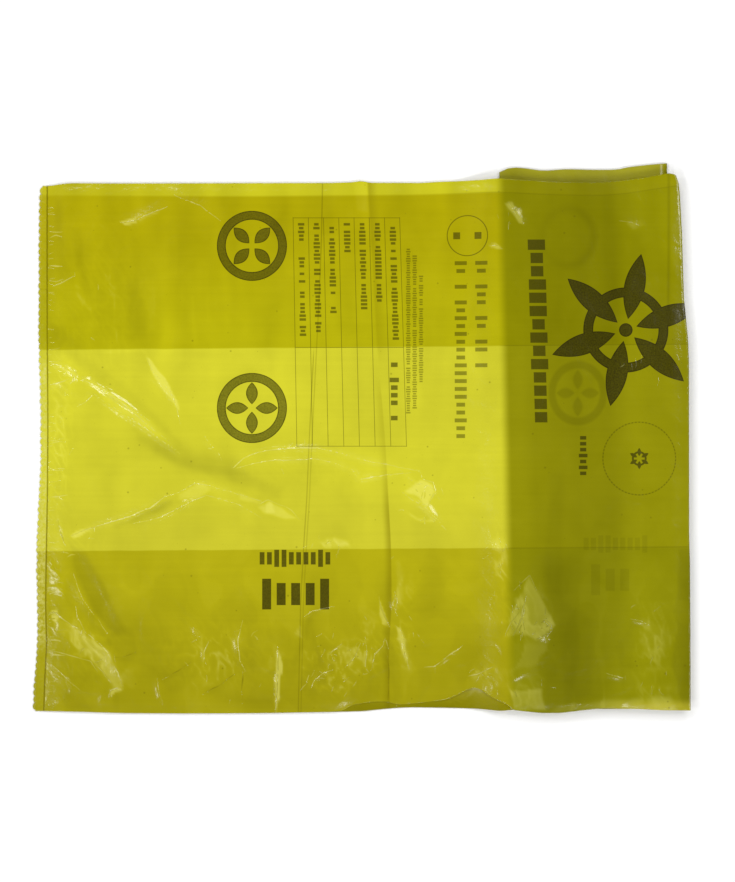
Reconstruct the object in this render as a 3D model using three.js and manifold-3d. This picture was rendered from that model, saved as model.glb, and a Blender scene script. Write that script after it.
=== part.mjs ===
// A gusseted 120 litre film bag for clinical waste, laid flat with its seal on the left and its mouth end
// folded under itself in short panels on the right. Millimetres, +Z up, resting on z = 0, origin at the
// middle of the underside. +X runs from the seal to the fold, +Y is across the bag.
// The bag is one welded film tube, so it is one solid. Film and air together are drawn as a flat body with
// the gusset's slits, the mouth's slit and the gaps between the folded panels cut into it.
import * as THREE from "three";
import { mergeVertices } from "three/addons/utils/BufferGeometryUtils.js";
import Module from "manifold-3d";

const wasm = await Module();
wasm.setup();

// Film tube
const layFlatWidth = 700; // the tube pressed flat, before its sides are tucked in
const bagLength = 1100; // seal edge to mouth, unfolded
const gussetDepth = 134; // how far each side is tucked in
const backSetback = 11; // the back panel's upper edge lies this far inside the front panel's

// Lie of the bag
const topRunLength = 526.5; // seal edge to the first fold, along the middle
const foldPanelLength = 146; // each panel that is folded under
const foldedDrift = 0.0285; // the folded run creeps across the bag by this share of its length
const foldSlant = 0.025; // slope of the fold lines against square
const sealSlant = 0.013; // slope of the seal against square, leaning the other way
const rampLength = 40; // the top run climbs onto the folded panels over this length

// Thicknesses with the air between the films
const bodyThickness = 1.2; // front panel, tucked sides and back panel together
const gussetGap = 0.3; // open slit between the two halves of a tucked side
const panelGap = 0.5; // air between two folded panels

// Bottom seal with its perforated tear edge
const sealWidth = 9; // tear edge to the open body
const sealThickness = 0.6; // films fused together
const sealOverlap = 2; // how far the seal strip reaches into the body
const sealLineInset = 5; // tear edge to the pressed weld line
const sealLineWidth = 0.9;
const sealLineDepth = 0.25;
const toothPitch = 5; // one scallop of the tear edge
const toothDepth = 0.9;

// Mouth
const mouthSlitDepth = 60;
const mouthSlitMargin = 4; // film left between the mouth's slit and each tucked fold

const curveSteps = 6; // per quarter turn of a fold, and along the ramp
const toothSteps = 4;

const foldedWidth = layFlatWidth - 2 * gussetDepth;
const halfWidth = foldedWidth / 2;
const panelPitch = bodyThickness + panelGap;
const foldRadius = panelPitch / 2;
const foldReach = foldRadius + bodyThickness / 2; // fold centre to the fold's outer face

// Lengths of the panels that are folded under: whole ones, then what is left at the mouth.
function foldedPanels() {
  const lengths = [];
  let left = bagLength - topRunLength;
  while (left > foldPanelLength) {
    lengths.push(foldPanelLength);
    left -= foldPanelLength;
  }
  lengths.push(left);
  return lengths;
}

const panels = foldedPanels();
const rightFoldX = topRunLength - foldReach;
const leftFoldX = topRunLength - foldPanelLength + foldReach;
const rampEndX = leftFoldX;
const panelHeight = (level) => bodyThickness / 2 + level * panelPitch;

// How far a point leans along the bag for each millimetre across: the seal one way, the folds the other.
const slantAt = (x) => THREE.MathUtils.mapLinear(Math.min(x, rampEndX), 0, rampEndX, sealSlant, -foldSlant);

function leaned(geometry, slant) {
  return geometry.applyMatrix4(new THREE.Matrix4().makeShear(0, 0, slant, 0, 0, 0));
}

// The line down the middle of the body in the XZ plane, from the seal to the mouth.
function bodyLine() {
  const path = new THREE.Path();
  const rampStartX = rampEndX - rampLength;
  const top = panelHeight(panels.length);
  const low = panelHeight(0);
  path.moveTo(sealWidth - sealOverlap, low);
  path.lineTo(rampStartX, low);
  path.bezierCurveTo(rampStartX + rampLength / 2, low, rampEndX - rampLength / 2, top, rampEndX, top);
  path.lineTo(rightFoldX, top);
  panels.forEach((length, i) => {
    const level = panels.length - i;
    const atRight = i % 2 === 0;
    const foldX = atRight ? rightFoldX : leftFoldX;
    const centreZ = panelHeight(level) - foldRadius;
    path.absarc(foldX, centreZ, foldRadius, Math.PI / 2, (atRight ? -1 : 3) * Math.PI / 2, atRight);
    const isLast = i === panels.length - 1;
    const run = isLast ? length - foldReach : rightFoldX - leftFoldX;
    path.lineTo(foldX + (atRight ? -run : run), panelHeight(level - 1));
  });
  return path.getPoints(curveSteps);
}

// Unit normal at each point, half way between the directions of its two neighbours.
function lineNormals(line) {
  return line.map((point, i) => {
    const before = point.clone().sub(line[Math.max(i - 1, 0)]).normalize();
    const after = line[Math.min(i + 1, line.length - 1)].clone().sub(point).normalize();
    const along = before.add(after).normalize();
    return new THREE.Vector2(-along.y, along.x);
  });
}

// How far the body lies across from the top run, at each point: nothing up to the first fold, then more with
// every millimetre that is folded under.
function sideShifts(line) {
  let folded = 0;
  return line.map((point, i) => {
    const isPastFold = folded > 0 || point.x > rightFoldX;
    if (i > 0 && isPastFold) folded += point.distanceTo(line[i - 1]);
    return foldedDrift * folded;
  });
}

// The body's cross-section: a flat bar with a slit in each side where the side is tucked in.
function bodySection() {
  const face = bodyThickness / 2;
  const slit = gussetGap / 2;
  const tuck = halfWidth - gussetDepth;
  const backEdge = halfWidth - backSetback;
  return [
    [-halfWidth, -face],
    [backEdge, -face],
    [backEdge, -slit],
    [tuck, -slit],
    [tuck, slit],
    [halfWidth, slit],
    [halfWidth, face],
    [-halfWidth, face],
    [-halfWidth, slit],
    [-tuck, slit],
    [-tuck, -slit],
    [-halfWidth, -slit],
  ].map(([across, up]) => new THREE.Vector2(across, up));
}

// A closed solid swept along the line, with flat ends.
function sweptBody() {
  const line = bodyLine();
  const normals = lineNormals(line);
  const shifts = sideShifts(line);
  const section = bodySection();
  const ring = section.length;
  const positions = [];
  line.forEach((point, i) => {
    const slant = slantAt(point.x);
    section.forEach(({ x: across, y: up }) => {
      const along = point.x + normals[i].x * up + slant * across;
      positions.push(along, across + shifts[i], point.y + normals[i].y * up);
    });
  });
  const triangles = [];
  for (let i = 0; i + 1 < line.length; i++) {
    for (let j = 0; j < ring; j++) {
      const a = i * ring + j;
      const b = i * ring + ((j + 1) % ring);
      triangles.push(a, b, a + ring, b, b + ring, a + ring);
    }
  }
  const last = (line.length - 1) * ring;
  for (const [a, b, c] of THREE.ShapeUtils.triangulateShape(section, [])) {
    triangles.push(a, c, b);
    triangles.push(last + a, last + b, last + c);
  }
  const body = new THREE.BufferGeometry();
  body.setAttribute("position", new THREE.Float32BufferAttribute(positions, 3));
  body.setIndex(triangles);
  return body;
}

// The fused strip at the bag's bottom, its free edge torn along a row of scallops.
function sealStrip() {
  const teeth = Math.round(foldedWidth / toothPitch);
  const pitch = foldedWidth / teeth;
  const outline = new THREE.Shape();
  outline.moveTo(sealWidth, -halfWidth);
  outline.lineTo(sealWidth, halfWidth);
  outline.lineTo(toothDepth, halfWidth);
  for (let i = 0; i < teeth; i++) {
    const y = halfWidth - i * pitch;
    outline.quadraticCurveTo(-toothDepth, y - pitch / 2, toothDepth, y - pitch);
  }
  outline.closePath();
  return new THREE.ExtrudeGeometry(outline, {
    depth: sealThickness,
    bevelEnabled: false,
    curveSegments: toothSteps,
  });
}

// The pressed weld line: a shallow groove across the strip.
function sealLine() {
  const groove = new THREE.Shape();
  groove.moveTo(-sealLineWidth / 2, sealThickness + sealLineDepth);
  groove.lineTo(0, sealThickness - sealLineDepth);
  groove.lineTo(sealLineWidth / 2, sealThickness + sealLineDepth);
  groove.closePath();
  const length = foldedWidth + 2 * toothPitch;
  return new THREE.ExtrudeGeometry(groove, { depth: length, bevelEnabled: false })
    .rotateX(Math.PI / 2)
    .translate(sealLineInset, length / 2, 0);
}

// The mouth stands open by a slit between the front and the back panel.
function mouthSlit() {
  const towardRight = panels.length % 2 === 0;
  const run = panels.at(-1) - foldReach;
  const mouthX = towardRight ? leftFoldX + run : rightFoldX - run;
  const width = foldedWidth - 2 * (gussetDepth + mouthSlitMargin);
  const drift = foldedDrift * (bagLength - topRunLength);
  const slit = new THREE.BoxGeometry(2 * mouthSlitDepth, width, gussetGap);
  return leaned(slit, -foldSlant).translate(mouthX, drift, panelHeight(0));
}

function solidOf(geometry) {
  const bare = geometry.clone();
  bare.deleteAttribute("normal");
  bare.deleteAttribute("uv");
  const merged = mergeVertices(bare, 1e-4);
  return new wasm.Manifold(
    new wasm.Mesh({
      numProp: 3,
      vertProperties: merged.attributes.position.array,
      triVerts: new Uint32Array(merged.index.array),
    }),
  );
}

function geometryOf(solid) {
  const mesh = solid.getMesh();
  const geometry = new THREE.BufferGeometry();
  geometry.setAttribute("position", new THREE.BufferAttribute(mesh.vertProperties, 3));
  geometry.setIndex(new THREE.BufferAttribute(mesh.triVerts, 1));
  geometry.computeVertexNormals();
  return geometry;
}

const bagSolid = solidOf(sweptBody())
  .subtract(solidOf(mouthSlit()))
  .add(solidOf(leaned(sealStrip(), sealSlant)).subtract(solidOf(leaned(sealLine(), sealSlant))));

const filmBag = new THREE.Mesh(
  geometryOf(bagSolid),
  new THREE.MeshStandardMaterial({ color: 0xb4ac0e, roughness: 0.35, metalness: 0 }),
);
filmBag.name = "film_bag";
const middle = new THREE.Box3().setFromObject(filmBag).getCenter(new THREE.Vector3());
filmBag.position.set(-middle.x, -middle.y, 0);

const bag = new THREE.Group();
bag.add(filmBag);

export default bag;
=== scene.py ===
"""A gusseted film bag for clinical waste, laid flat with its mouth end folded under itself.

The film is one swept skin: the section of a tucked tube, carried along the bag's folded middle line, with
the creases of the top run raised from it. The torn edge of the bottom weld is set out by Geometry Nodes.
Lengths in this script are millimetres on the bag, x from the weld and y from the middle, until a mesh is
written in metres. Places read off the photograph are given in its pixels and go through bag_x and bag_y.
"""

import math

import bpy
import numpy as np
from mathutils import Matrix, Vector
from mathutils.bvhtree import BVHTree


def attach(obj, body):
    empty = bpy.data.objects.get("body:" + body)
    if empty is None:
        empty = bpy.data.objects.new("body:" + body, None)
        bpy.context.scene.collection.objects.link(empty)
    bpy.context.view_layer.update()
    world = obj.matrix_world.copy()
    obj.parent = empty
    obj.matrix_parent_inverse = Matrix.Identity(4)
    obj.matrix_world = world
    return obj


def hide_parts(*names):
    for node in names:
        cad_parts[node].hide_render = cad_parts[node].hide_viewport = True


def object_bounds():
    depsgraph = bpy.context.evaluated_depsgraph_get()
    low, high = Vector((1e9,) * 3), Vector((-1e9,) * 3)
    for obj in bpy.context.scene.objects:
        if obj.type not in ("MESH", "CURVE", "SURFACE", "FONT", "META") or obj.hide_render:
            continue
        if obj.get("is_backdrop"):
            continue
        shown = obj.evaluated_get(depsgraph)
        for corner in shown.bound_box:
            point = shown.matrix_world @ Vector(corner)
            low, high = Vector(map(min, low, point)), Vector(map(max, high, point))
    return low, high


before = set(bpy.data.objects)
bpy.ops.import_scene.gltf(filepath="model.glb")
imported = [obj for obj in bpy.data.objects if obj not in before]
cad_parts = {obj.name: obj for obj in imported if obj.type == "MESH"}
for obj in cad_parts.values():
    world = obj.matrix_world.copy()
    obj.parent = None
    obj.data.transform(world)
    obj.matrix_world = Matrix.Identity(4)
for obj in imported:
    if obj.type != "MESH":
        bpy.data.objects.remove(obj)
CAD_LOW, CAD_HIGH = (tuple(corner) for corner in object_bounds())

PX = 0.815  # millimetres on the bag for one pixel of the photograph
HALF_WIDTH = 216.0
TUCK = 82.0  # the tucked sides reach in to this distance from the middle
TOP_RUN = 526.5
PANEL = 146.0
LENGTH = 1100.0
BODY = 1.2  # four plies with their air
WING = 0.45  # two plies: a panel and half of a tucked side
AIR = 0.5  # between two folded panels
PITCH = BODY + AIR
FOLD_RADIUS = PITCH / 2
REACH = FOLD_RADIUS + BODY / 2
RIGHT_FOLD = TOP_RUN - REACH
LEFT_FOLD = TOP_RUN - PANEL + REACH
FOLDS = 4
RAMP = 40.0
DRIFT = 0.0285  # the folded run creeps across by this share of its length
WELD_LINE = 5.0
TOOTH_ROOT = 0.9
FINE_STEP = 1.75  # between the points of the top run's front film
WELD_STEP = 1.3  # along the bag beside the weld
COARSE_STEP = 12.0  # across the front film where it is folded under
HIDDEN_STEP = 36.0  # across the films that are never seen
RIDGE_STEP = 1.3  # along a crease's crest
HIGH_ABOVE = 40.0  # from where the film is looked for, straight down
RIM_REACH = 2.8  # the torn rim stands out this far beyond x = 0
UPPER_TUCK_SLOPE = 0.008  # the tucks' inner folds climb by this share of x
LOWER_TUCK_SLOPE = 0.0075
PHOTO_WIDTH, PHOTO_HEIGHT = 735, 882
CORNER_PX, CORNER_PY = 34.0, 712.2  # the bag's lower left corner in the photograph


def bag_x(px):
    return (np.asarray(px, float) - CORNER_PX) * PX - RIM_REACH


def bag_y(py):
    return (CORNER_PY - np.asarray(py, float)) * PX - HALF_WIDTH


def to_frame(points):
    """Bag millimetres to the row frame's metres."""
    shift = (CAD_LOW[0] * 1000 + RIM_REACH, CAD_LOW[1] * 1000 + HALF_WIDTH, 0.0)
    return (np.asarray(points, float) + shift) / 1000


def smooth_curve(points, low, high, blur=8.0):
    """A smooth single-valued curve through points, as a function."""
    at, value = np.array(points, float).T
    order = np.argsort(at)
    grid = np.arange(low - 40, high + 41, 1.0)
    line = np.interp(grid, at[order], value[order])
    kernel = np.hanning(2 * int(blur) + 1)
    padded = np.pad(line, int(blur), mode="edge")
    line = np.convolve(padded, kernel / kernel.sum(), mode="valid")
    return lambda t: np.interp(t, grid, line)


def edge_along_x(pixels, blur=8.0):
    xs, ys = np.array(pixels, float).T
    return smooth_curve(np.column_stack([bag_x(xs), bag_y(ys)]), -10, 560, blur)


def edge_along_y(pixels, blur=8.0):
    xs, ys = np.array(pixels, float).T
    return smooth_curve(np.column_stack([bag_y(ys), bag_x(xs)]), -230, 240, blur)


# Edges of the top run and of the folded run, in pixels of the photograph.
front_top = edge_along_x([
    (41, 186), (50, 186), (60, 184.4), (70, 183.3), (120, 183.6), (330, 183.2), (352, 182.5),
    (361, 181),
    (370, 183), (420, 183.2), (440, 182), (480, 180.6), (497, 179.3), (508, 179.8), (528, 181.4),
    (561, 183.2),
    (600, 183.5), (622, 181.5), (645, 178.4), (658, 175.9), (669, 174), (675, 176), (681, 179),
    (690, 186),
], 5.0)
back_top = edge_along_x([
    (41, 195.5), (120, 196), (250, 196.5), (420, 195), (470, 193.5), (501, 193.2), (526, 194.6),
    (550, 195.8),
    (578, 196.4), (605, 196.4), (620, 195.2), (638, 193), (655, 189.6), (672, 187.4), (690, 185),
])
front_low = edge_along_x([
    (36, 711), (60, 711.2), (125, 713), (185, 713.3), (260, 713), (330, 711.8), (343, 710.5),
    (352, 704.8),
    (372, 701.6), (386, 701.2), (396, 704), (402, 704.4), (420, 702.6), (445, 699.6), (458, 694.5),
    (466, 689.8), (473, 687.4), (480, 688.6), (492, 697), (506, 703), (512, 709), (540, 712),
    (560, 712),
    (580, 709.5), (600, 707.3), (640, 708), (660, 709.2), (690, 709.5),
], 4.0)
back_low = edge_along_x([
    (36, 711), (60, 711.2), (125, 713), (185, 713.3), (260, 712.6), (330, 712), (365, 711),
    (380, 709.2),
    (400, 707.6), (412, 707.2), (440, 707.6), (460, 708), (480, 708.6), (500, 710.2), (520, 708),
    (690, 708),
], 5.0)
run_top = edge_along_x([
    (496, 174), (499, 172.6), (503, 170.6), (508, 168.2), (514, 167.5), (526, 168.5), (543, 171),
    (567, 169),
    (592, 169.6), (617, 169.4), (627, 167), (648, 164.8), (667, 163.4), (690, 163.4),
], 5.0)
right_fold = edge_along_y([
    (672, 176), (674.8, 182), (677.6, 188), (679, 201), (681, 236), (683, 300), (685, 320), (687, 340),
    (688, 362), (688.2, 540), (689, 565), (689.5, 640), (689.6, 712),
], 3.0)
left_fold = edge_along_y([(498, 172), (504, 370), (511, 520), (512, 640), (512, 712)], 20.0)
weld_edge = edge_along_y([
    (41.6, 186), (40.6, 200), (40, 250), (40, 300), (39.6, 330), (41.2, 380), (42, 430), (41.6, 470),
    (39.4, 510), (38, 545), (37.6, 570), (38.6, 600), (38.4, 640), (37, 662), (35, 685), (34.2, 712),
], 6.0)

weld_seam = edge_along_y([
    (47.3, 186), (47.2, 250), (47.3, 330), (48, 430), (47.5, 500), (46.6, 545), (45.7, 600), (46, 620),
    (46.9, 640),
    (46.2, 656), (44.9, 676), (43.8, 712),
], 10.0)


# Folds right across the film, in pixels of the photograph: a thin pair of lines, and a soft fold beside it.
thin_fold = edge_along_y([
    (322.6, 183), (321.5, 240), (319.5, 290), (316.8, 345), (314, 400), (312, 440), (309.5, 500),
    (306.5, 545),
    (303.5, 600), (301, 712),
], 10.0)
soft_fold = edge_along_y([
    (367, 183), (369, 217), (373, 280), (376.5, 345), (382, 400), (385.5, 445), (388.5, 500),
    (391, 545),
    (391.8, 600), (389, 650), (390, 712),
], 10.0)


# Smooth seeded noise on the bag's plane.
def lattice(x, y, cell, seed):
    """Gradient noise with cells of the given size, about -0.7 to 0.7."""
    rng = np.random.default_rng(seed)
    angle = rng.uniform(0, 2 * math.pi, (256, 256))
    gx, gy = np.cos(angle), np.sin(angle)
    cell_x, cell_y = (cell, cell) if np.isscalar(cell) else cell
    u = np.asarray(x, float) / cell_x + 100
    v = np.asarray(y, float) / cell_y + 100
    i, j = np.floor(u).astype(int), np.floor(v).astype(int)
    fu, fv = u - i, v - j
    su, sv = (f * f * f * (f * (f * 6 - 15) + 10) for f in (fu, fv))

    def corner(di, dj):
        a, b = (i + di) % 256, (j + dj) % 256
        return gx[a, b] * (fu - di) + gy[a, b] * (fv - dj)

    low = corner(0, 0) * (1 - su) + corner(1, 0) * su
    high = corner(0, 1) * (1 - su) + corner(1, 1) * su
    return low * (1 - sv) + high * sv


def crests(x, y, cell, seed, sharp=2.0):
    """Sharp-crested folds, 0 to 1."""
    return np.clip(1 - np.abs(lattice(x, y, cell, seed)) * sharp, 0, 1)


def step(value, low, high):
    t = np.clip((value - low) / (high - low), 0, 1)
    return t * t * (3 - 2 * t)


def along(x, y, pixels):
    """Distance from a polyline given in pixels, and the share of its length reached."""
    xs, ys = np.array(pixels, float).T
    points = np.column_stack([bag_x(xs), bag_y(ys)])
    lengths = np.hypot(*np.diff(points, axis=0).T)
    total = lengths.sum()
    best = np.full(np.shape(x), 1e9)
    share = np.zeros(np.shape(x))
    run = 0.0
    for a, b, length in zip(points[:-1], points[1:], lengths, strict=True):
        direction = (b - a) / length
        t = np.clip((x - a[0]) * direction[0] + (y - a[1]) * direction[1], 0, length)
        d = np.hypot(x - a[0] - t * direction[0], y - a[1] - t * direction[1])
        nearer = d < best
        best = np.where(nearer, d, best)
        share = np.where(nearer, (run + t) / total, share)
        run += length
    return best, share


def crease(x, y, pixels, height, width):
    """A sharp ridge along a polyline, dying out at both ends. A negative height presses a valley."""
    d, share = along(x, y, pixels)
    fade = np.sqrt(np.clip(np.sin(math.pi * np.clip(share, 0.02, 0.98)), 0, 1))
    return height * fade * np.clip(1 - d / width, 0, 1) ** 1.3


# The creases that the photograph shows, in its pixels: points, height and half width in millimetres. Each
# crease also gets a painted highlight along it.
CREASES = [
    ([(121, 223), (135, 221), (150, 214), (168, 207)], 1.0, 9),
    ([(174, 195), (200, 206), (221, 221)], 0.7, 8),
    ([(53, 287), (62, 283), (75, 276)], 0.6, 6),
    ([(81, 380), (90, 382), (122, 403), (152, 428), (168, 440), (180, 454)], 1.4, 4.5),
    ([(94, 394), (117, 410), (140, 424), (163, 441), (180, 454)], 1.4, 4.5),
    ([(58, 370), (72, 374), (76, 377), (70, 384)], 1.0, 4),
    ([(78, 406), (86, 402), (94, 395)], 0.8, 5),
    ([(147, 358), (152, 370), (160, 380), (169, 390), (174, 398), (178, 412), (180, 424)], 1.1, 7),
    ([(205, 436), (210, 444), (218, 451), (222, 460)], 1.0, 5),
    ([(234, 468), (244, 458), (258, 452), (277, 449), (317, 448), (340, 453), (364, 460),
      (419, 471)], 1.5, 5),
    ([(237, 468), (256, 463), (274, 460), (312, 459), (332, 462), (351, 469), (360, 479), (383, 475),
      (416, 472)], 1.4, 5),
    ([(71, 536), (84, 530), (125, 518), (150, 508), (165, 497), (177, 493)], 1.6, 6),
    ([(133, 523), (159, 518), (182, 506), (206, 495)], 1.2, 5),
    ([(177, 493), (195, 483), (208, 485), (228, 491), (262, 501)], 1.2, 5),
    ([(205, 495), (222, 499), (240, 505), (262, 518)], 0.9, 5),
    ([(58, 514), (62, 528), (67, 541)], 0.25, 4),
    ([(74, 574), (80, 592), (89, 608), (99, 620), (108, 634)], 0.9, 8),
    ([(80, 628), (96, 640), (108, 652), (118, 672), (124, 688)], 1.3, 11),
    ([(78, 612), (82, 630), (92, 640)], 0.4, 6),
    ([(51, 662), (62, 674), (78, 688), (92, 697), (118, 706)], 0.1, 9),
    ([(109, 697), (111, 690), (118, 687), (124, 689)], 1.2, 3),
    ([(157, 678), (159, 690), (163, 704)], 0.9, 5),
    ([(193, 626), (201, 638)], 0.8, 4),
    ([(209, 641), (204, 652), (206, 664)], 1.0, 4),
    ([(243, 620), (238, 640), (240, 660), (246, 672)], 1.0, 6),
    ([(278, 646), (278, 675), (275.5, 712)], 0.8, 3.5),
    ([(396, 590), (393, 604), (397, 616)], 1.2, 4),
    ([(398, 626), (404, 640), (408, 668)], 0.45, 5),
    ([(388, 560), (390, 600), (389, 640), (393, 700)], 0.4, 10),
    ([(307, 640), (322, 652), (340, 660), (356, 672)], 0.5, 5),
    ([(330, 690), (344, 678), (362, 668), (378, 664)], 0.5, 6),
    ([(300, 670), (312, 684), (330, 694)], 0.5, 5),
    ([(402, 492), (412, 500), (426, 506), (436, 520)], 1.2, 7),
    ([(400, 470), (414, 482), (430, 486), (440, 500)], 1.1, 6),
    ([(418, 500), (430, 512), (446, 530)], 1.1, 6),
    ([(492, 537), (500, 545), (508, 552)], 0.5, 5),
    ([(529, 573), (518, 600), (504, 632)], 0.5, 6),
    ([(529, 573), (541, 598), (554, 625)], 0.5, 6),
    ([(533, 632), (541, 637), (550, 639)], 1.0, 4),
    ([(629, 618), (640, 620), (648, 624)], 0.9, 4),
    ([(605, 672), (613, 675), (622, 677)], 0.9, 4),
    ([(507, 203), (513, 212), (523, 225)], 1.2, 5),
    ([(513, 212), (520, 209)], 0.7, 3),
    ([(618, 222), (628, 223), (638, 226)], 0.8, 6),
    ([(488, 246), (496, 247), (502, 250)], 0.6, 4),
    ([(670, 240), (674, 270), (682, 300)], 0.2, 6),
    ([(50, 364), (62, 365), (74, 372), (77, 379), (71, 383)], 1.4, 3),
    ([(82, 380), (90, 380), (104, 390), (124, 402), (150, 421)], 1.5, 3),
    ([(49, 385), (60, 383), (72, 378)], 0.9, 4),
    ([(48, 572), (54, 578), (62, 580)], 0.9, 3),
    ([(49, 578), (56, 583), (60, 582)], 0.8, 2),
    ([(49, 588), (58, 587), (63, 590)], 0.9, 3),
    ([(48, 591), (56, 591), (64, 594)], 0.9, 2),
    ([(48, 569), (54, 571), (60, 578), (55, 581), (48, 580)], 0.9, 2),
    ([(48, 588), (57, 587), (61, 591), (65, 595)], 1.1, 2),
    ([(49, 561), (52, 564), (50, 568)], 0.7, 2),
    ([(51, 627), (56, 633), (59, 628), (58, 621)], 0.7, 2),
    ([(365, 636), (367, 650), (365, 667), (369, 672)], 0.8, 3),
    ([(371, 670), (375, 654), (383, 645), (385, 638), (389, 649)], 0.8, 3),
    ([(345, 667), (354, 658), (361, 642)], 0.62, 3),
    ([(329, 654), (343, 642)], 0.62, 3),
    ([(311, 688), (315, 679), (324, 672), (333, 670)], 0.8, 3),
    ([(424, 667), (434, 666), (463, 645)], 0.7, 4),
    ([(468, 676), (477, 674), (493, 666)], 0.9, 4),
    ([(417, 634), (424, 643)], 0.7, 3),
    ([(304, 617), (311, 611), (334, 606)], 0.8, 4),
    ([(395, 625), (400, 629), (404, 642), (409, 670)], 0.7, 3),
    ([(526, 593), (521, 615), (524, 629)], 0.6, 4),
    ([(543, 618), (551, 624), (548, 632), (536, 638)], 0.6, 3),
]
# Valleys pressed into the film, in the same form as the creases, with painted shade along them.
VALLEYS = [
    ([(133, 429), (160, 446), (190, 460), (225, 466), (262, 480)], -0.5, 12),
    ([(125, 522), (150, 514), (172, 500)], -0.5, 7),
    ([(72, 548), (84, 575), (94, 596), (112, 630)], -0.6, 9),
    ([(76, 552), (88, 574), (100, 596), (110, 618), (113, 648)], -0.4, 14),
    ([(126, 600), (150, 640), (160, 690)], -0.2, 18),
    ([(60, 690), (80, 705), (100, 711)], -0.2, 8),
    ([(58, 200), (60, 250), (64, 290)], -0.22, 12),
    ([(80, 230), (82, 270), (90, 305)], -0.22, 10),
    ([(50, 330), (66, 342), (84, 350)], -0.22, 12),
    ([(128, 270), (132, 310), (130, 345)], -0.18, 12),
    ([(388, 560), (386, 620), (390, 700)], -0.35, 7),
    ([(312, 560), (316, 640), (312, 706)], -0.2, 9),
    ([(240, 600), (252, 640), (246, 700)], -0.25, 12),
    ([(420, 500), (436, 560), (430, 640)], -0.2, 14),
    ([(200, 690), (240, 700), (290, 704)], -0.25, 8),
    ([(114, 657), (124, 658), (136, 653)], -0.22, 3),
    ([(163, 680), (178, 672), (191, 663)], -0.22, 3.5),
    ([(203, 695), (218, 687), (235, 675)], -0.25, 3.5),
    ([(305, 640), (306, 628), (311, 614), (324, 606)], -0.3, 3.5),
    ([(294, 668), (299, 650), (304, 640)], -0.2, 3.5),
]
# Faint crests, painted pale as whitened film with a painted highlight, that do not raise it, in pixels of
# the photograph.
HAIRLINES = [
    [(48, 660), (56, 668), (70, 681), (82, 691), (91, 694)],
    [(53, 611), (62, 618), (72, 625), (80, 629)],
    [(50, 650), (62, 653), (76, 657), (91, 661), (98, 672)],
    [(94, 664), (104, 672), (112, 684)],
    [(76, 606), (78, 618), (86, 632)],
    [(258, 505), (268, 500), (284, 506), (291, 510), (300, 520)],
    [(419, 471), (424, 480), (433, 482), (435, 492), (427, 507)],
    [(379, 596), (381, 608), (390, 627)],
    [(395, 592), (397, 602), (395, 614)],
    [(513, 590), (523, 580), (529, 574), (536, 590)],
    [(504, 636), (510, 622), (518, 612)],
    [(512, 636), (519, 622), (525, 606)],
    [(543, 620), (552, 628), (545, 637)],
]
# Thin folds pressed in, whose lines carry painted shade, in pixels of the photograph.
FOLDS_IN = [
    [(114, 657), (124, 657), (136, 652)],
    [(163, 679), (178, 671), (191, 662)],
    [(203, 694), (218, 686), (235, 674)],
    [(243, 672), (242, 690), (243, 704)],
    [(58, 520), (61, 534), (66, 546)],
    [(386, 646), (389, 670), (388, 704)],
]
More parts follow.
